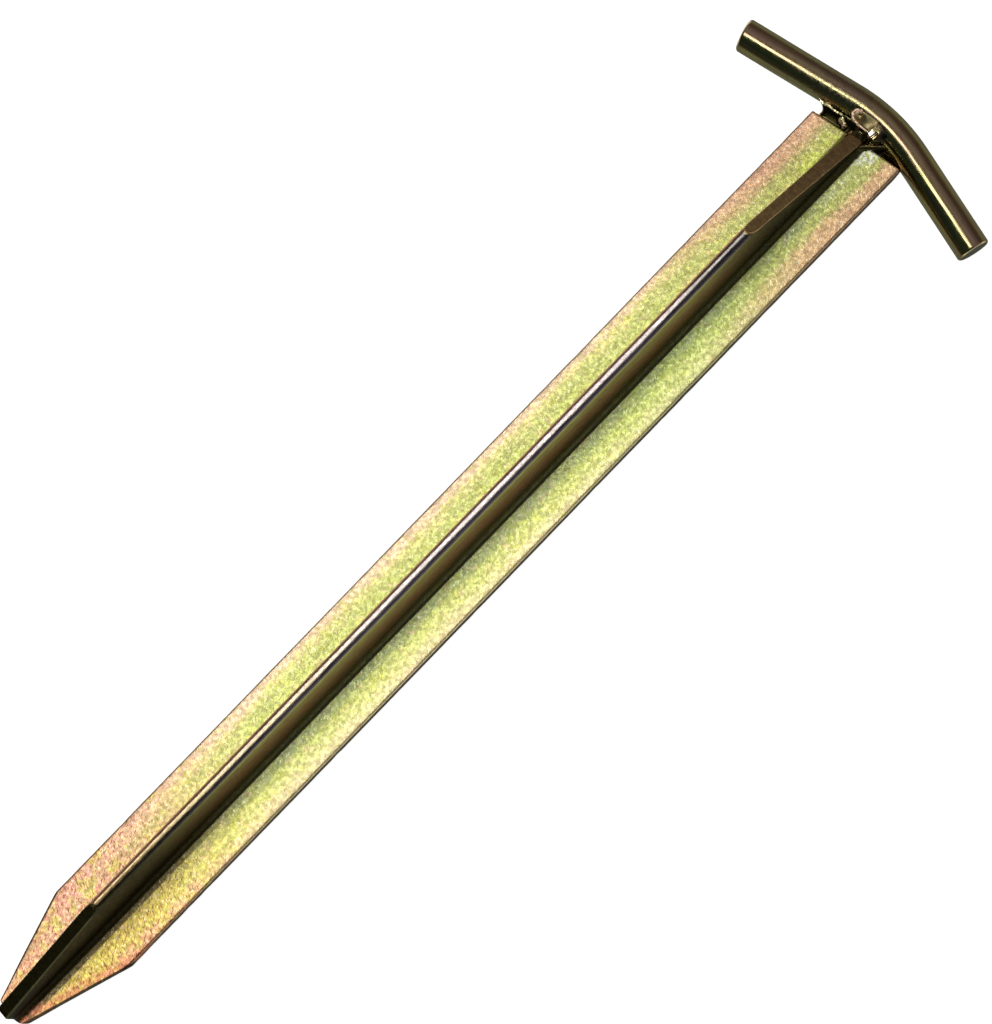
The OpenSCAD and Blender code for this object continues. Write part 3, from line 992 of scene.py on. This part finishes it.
def weld_material():
    s = Shader("zinc_over_weld_metal")
    colour = s.ramp(s.noise(1.5, 3), [(0.3, tone(122, 116, 78)), (0.5, tone(158, 144, 102)),
                                      (0.7, tone(184, 156, 114))])
    node = s.tree.nodes.new("ShaderNodeAttribute")
    node.attribute_name = "bare"
    bare = node.outputs["Fac"]
    # Positive tint gives pale flecks and painted highlights, negative tint painted shade.
    flecks_and_painted_highlights = s.math("MULTIPLY", bare, s.span(s.noise(0.6, 2, shift=27), 0.3, 0.5), clamp=True)
    painted_shade = s.math("MULTIPLY", bare, -1.0, clamp=True)
    # Painted shade is brown-black, and blue-black beyond the crest.
    blue_painted_shade = s.times(s.span(s.y, -3.0, -4.4), s.span(s.x, 174.6, 176.4))
    colour = s.mix(painted_shade, colour, s.mix(blue_painted_shade, tone(50, 50, 34), tone(42, 50, 66)))
    # Pale flecks and painted highlights are white on the crest, coppery along the rim and cream
    # beside the flange.
    white_painted_highlight = s.times(s.span(s.y, -1.0, -1.6), s.span(s.y, -8, -6))
    copper = s.mix(s.span(s.y, 6.2, 6.8), tone(255, 214, 184), tone(240, 226, 178))
    colour = s.mix(flecks_and_painted_highlights, colour, s.mix(white_painted_highlight, copper, tone(244, 244, 252)))
    # The face between rim and bar is matt.
    matt = s.times(s.span(s.y, -1.9, -0.4), s.span(s.y, 6.0, 4.8), s.span(s.x, 174.8, 175.6))
    roughness = s.span(s.noise(0.9, 2, shift=4), 0.3, 0.7, 0.14, 0.26)
    roughness = s.plus(roughness, s.times(flecks_and_painted_highlights, 0.20))
    roughness = s.plus(roughness, s.times(matt, 0.32))
    metallic = s.minus(1.0, s.times(flecks_and_painted_highlights, 0.92))
    return s.finish(colour, roughness, s.bump(s.noise(0.7, 3), 0.012), metallic)


# ---------------------------------------------------------------- build the pieces
def build_pieces():
    profile = t_section_mesh()
    push_along_normals(profile, rolled_surface)
    finish_piece(profile, "t_profile", profile_material())
    bar = head_bar_mesh()
    push_along_normals(bar, drawn_surface)
    finish_piece(bar, "head_bar", bar_material())
    melted = weld_material()
    welds = ((nugget_mesh(), "weld_front_lump"), (gap_bead_mesh(), "weld_gap_bead"),
             (side_seam_mesh(), "weld_side_seam"), (back_bead_mesh(), "weld_back_bead"))
    for weld, node in welds:
        finish_piece(weld, node, melted)
    return profile, [bar] + [weld for weld, node in welds]


# ---------------------------------------------------------------- floor, light and camera
def add_floor():
    """A pale floor just under the object, which glows so that it stays even."""
    size = 6.0
    clearance = 0.0001
    mesh = bpy.data.meshes.new("floor")
    z = cad_box[0].z - clearance
    mesh.from_pydata([(-size, -size, z), (size, -size, z), (size, size, z), (-size, size, z)], [],
                     [(0, 1, 2, 3)])
    floor = add_object("floor", mesh)
    material = bpy.data.materials.new("pale_floor")
    material.use_nodes = True
    tree = material.node_tree
    tree.nodes.clear()
    output = tree.nodes.new("ShaderNodeOutputMaterial")
    both = tree.nodes.new("ShaderNodeAddShader")
    glow = tree.nodes.new("ShaderNodeEmission")
    glow.inputs["Color"].default_value = (1, 1, 1, 1)
    glow.inputs["Strength"].default_value = 0.95
    paint = tree.nodes.new("ShaderNodeBsdfDiffuse")
    paint.inputs["Color"].default_value = (0.5, 0.5, 0.5, 1)
    tree.links.new(glow.outputs[0], both.inputs[0])
    tree.links.new(paint.outputs[0], both.inputs[1])
    tree.links.new(both.outputs[0], output.inputs["Surface"])
    mesh.materials.append(material)
    floor.visible_glossy = False
    return floor


def add_panel(name, place, target, size, radiance, receivers):
    """A rectangular soft light of that radiance, lighting only the receivers."""
    light = bpy.data.lights.new(name, "AREA")
    light.shape = "RECTANGLE"
    light.size, light.size_y = size
    light.energy = radiance * math.pi * size[0] * size[1]
    obj = add_object(name, light)
    obj.visible_camera = False
    aim = (Vector(target) - Vector(place)).normalized()
    across = Vector((1, 0, 0))
    up = aim.cross(across).normalized() * -1
    across = up.cross(-aim)
    obj.matrix_world = Matrix.Translation(place) @ Matrix((across, up, -aim)).transposed().to_4x4()
    group = bpy.data.collections.new(name + "_lights")
    for piece in receivers:
        group.objects.link(piece)
    obj.light_linking.receiver_collection = group


ROOM_ACROSS = (  # light from a direction by its share of +X, seen in the glossy bar
    (-1.00, (0.030, 0.034, 0.024)), (-0.80, (0.014, 0.022, 0.018)), (-0.45, (0.016, 0.030, 0.020)),
    (-0.15, (0.060, 0.066, 0.040)), (0.15, (0.150, 0.125, 0.110)), (0.50, (0.190, 0.165, 0.200)),
    (0.72, (0.120, 0.100, 0.110)), (0.92, (0.060, 0.046, 0.038)), (1.00, (0.070, 0.054, 0.036)))
BELOW = (0.150, 0.170, 0.130)  # light off the pale floor
BESIDE = (0.85, 0.85, 0.78)  # pale walls to both sides, seen low down


def set_world():
    """A dim room: black-green towards the tip, mauve-brown towards the head, pale to the eye."""
    world = bpy.data.worlds.new("dim_room")
    bpy.context.scene.world = world
    world.use_nodes = True
    tree = world.node_tree
    tree.nodes.clear()

    def add(kind):
        return tree.nodes.new("ShaderNode" + kind)

    def ease(source, low, high):
        node = add("MapRange")
        node.interpolation_type = "SMOOTHSTEP"
        node.inputs["From Min"].default_value = low
        node.inputs["From Max"].default_value = high
        tree.links.new(source, node.inputs["Value"])
        return node.outputs[0]

    def blend(kind, share, first, second):
        node = add("MixRGB")
        node.blend_type = kind
        for value, socket in zip((share, first, second), node.inputs):
            if isinstance(value, tuple):
                socket.default_value = (*value, 1)
            elif isinstance(value, float):
                socket.default_value = value
            else:
                tree.links.new(value, socket)
        return node.outputs[0]

    split = add("SeparateXYZ")
    tree.links.new(add("TexCoord").outputs["Generated"], split.inputs[0])
    across = add("MapRange")
    across.inputs["From Min"].default_value = -1
    tree.links.new(split.outputs[0], across.inputs["Value"])
    ramp = add("ValToRGB")
    tree.links.new(across.outputs[0], ramp.inputs[0])
    fill_ramp(ramp, [((share + 1) / 2, colour) for share, colour in ROOM_ACROSS])
    room = blend("MIX", ease(split.outputs[2], 0.12, -0.25), ramp.outputs[0], BELOW)
    low_down = blend("MULTIPLY", 1.0, ease(split.outputs[2], 0.06, -0.12),
                     ease(split.outputs[2], -0.85, -0.60))
    to_sides = blend("ADD", 1.0, ease(split.outputs[1], 0.4, 0.75),
                     ease(split.outputs[1], -0.4, -0.75))
    room = blend("MIX", blend("MULTIPLY", 1.0, low_down, to_sides), room, BESIDE)
    lit = add("Background")
    tree.links.new(room, lit.inputs["Color"])
    pale = add("Background")
    pale.inputs["Color"].default_value = (1, 1, 1, 1)
    choose = add("MixShader")
    tree.links.new(add("LightPath").outputs["Is Camera Ray"], choose.inputs[0])
    tree.links.new(lit.outputs[0], choose.inputs[1])
    tree.links.new(pale.outputs[0], choose.inputs[2])
    output = add("OutputWorld")
    tree.links.new(choose.outputs[0], output.inputs["Surface"])


def add_camera():
    """A long lens 1.2 m out, tilted 9 degrees towards the short arm's side and rolled 46."""
    distance = 1200.0
    aim = np.array([25.44, 0.06, 4.0])
    roll, tilt = math.radians(45.92), math.radians(9.2)
    view_span = 288.735  # millimetres that the picture's long side spans at the aim
    back = np.array([0, -math.sin(tilt), math.cos(tilt)])
    up_plane = np.array([0, math.cos(tilt), math.sin(tilt)])
    right = np.array([math.cos(roll), 0, 0]) - math.sin(roll) * up_plane
    up = np.array([math.sin(roll), 0, 0]) + math.cos(roll) * up_plane
    data = bpy.data.cameras.new("camera")
    data.sensor_width = 36.0
    data.sensor_fit = "AUTO"
    data.lens = distance * data.sensor_width / view_span
    data.clip_start, data.clip_end = 0.01, 50
    camera = add_object("camera", data)
    place = (aim + back * distance) * MM
    camera.matrix_world = Matrix.Translation(Vector(place)) @ Matrix(
        (Vector(right), Vector(up), Vector(back))).transposed().to_4x4()
    bpy.context.scene.camera = camera


profile, head_pieces = build_pieces()
floor = add_floor()
set_world()
add_panel("long_softbox", (-0.165, 0.17, 1.2), (0, 0, 0), (1.25, 0.38), 4.0, [profile, floor])
add_panel("head_softbox", (0.09, 0.20, 1.2), (0.18, 0, 0), (0.26, 0.50), 2.5, head_pieces)
add_panel("weld_softbox", (0.12, 0.17, 1.2), (0.18, 0, 0), (0.60, 0.46), 13.0, head_pieces[1:])
add_panel("short_side_fill", (0.0, -0.40, 0.10), (0, 0, 0.015), (0.26, 0.16), 1.3, [profile])
add_camera()
bpy.context.scene.view_settings.view_transform = "Standard"
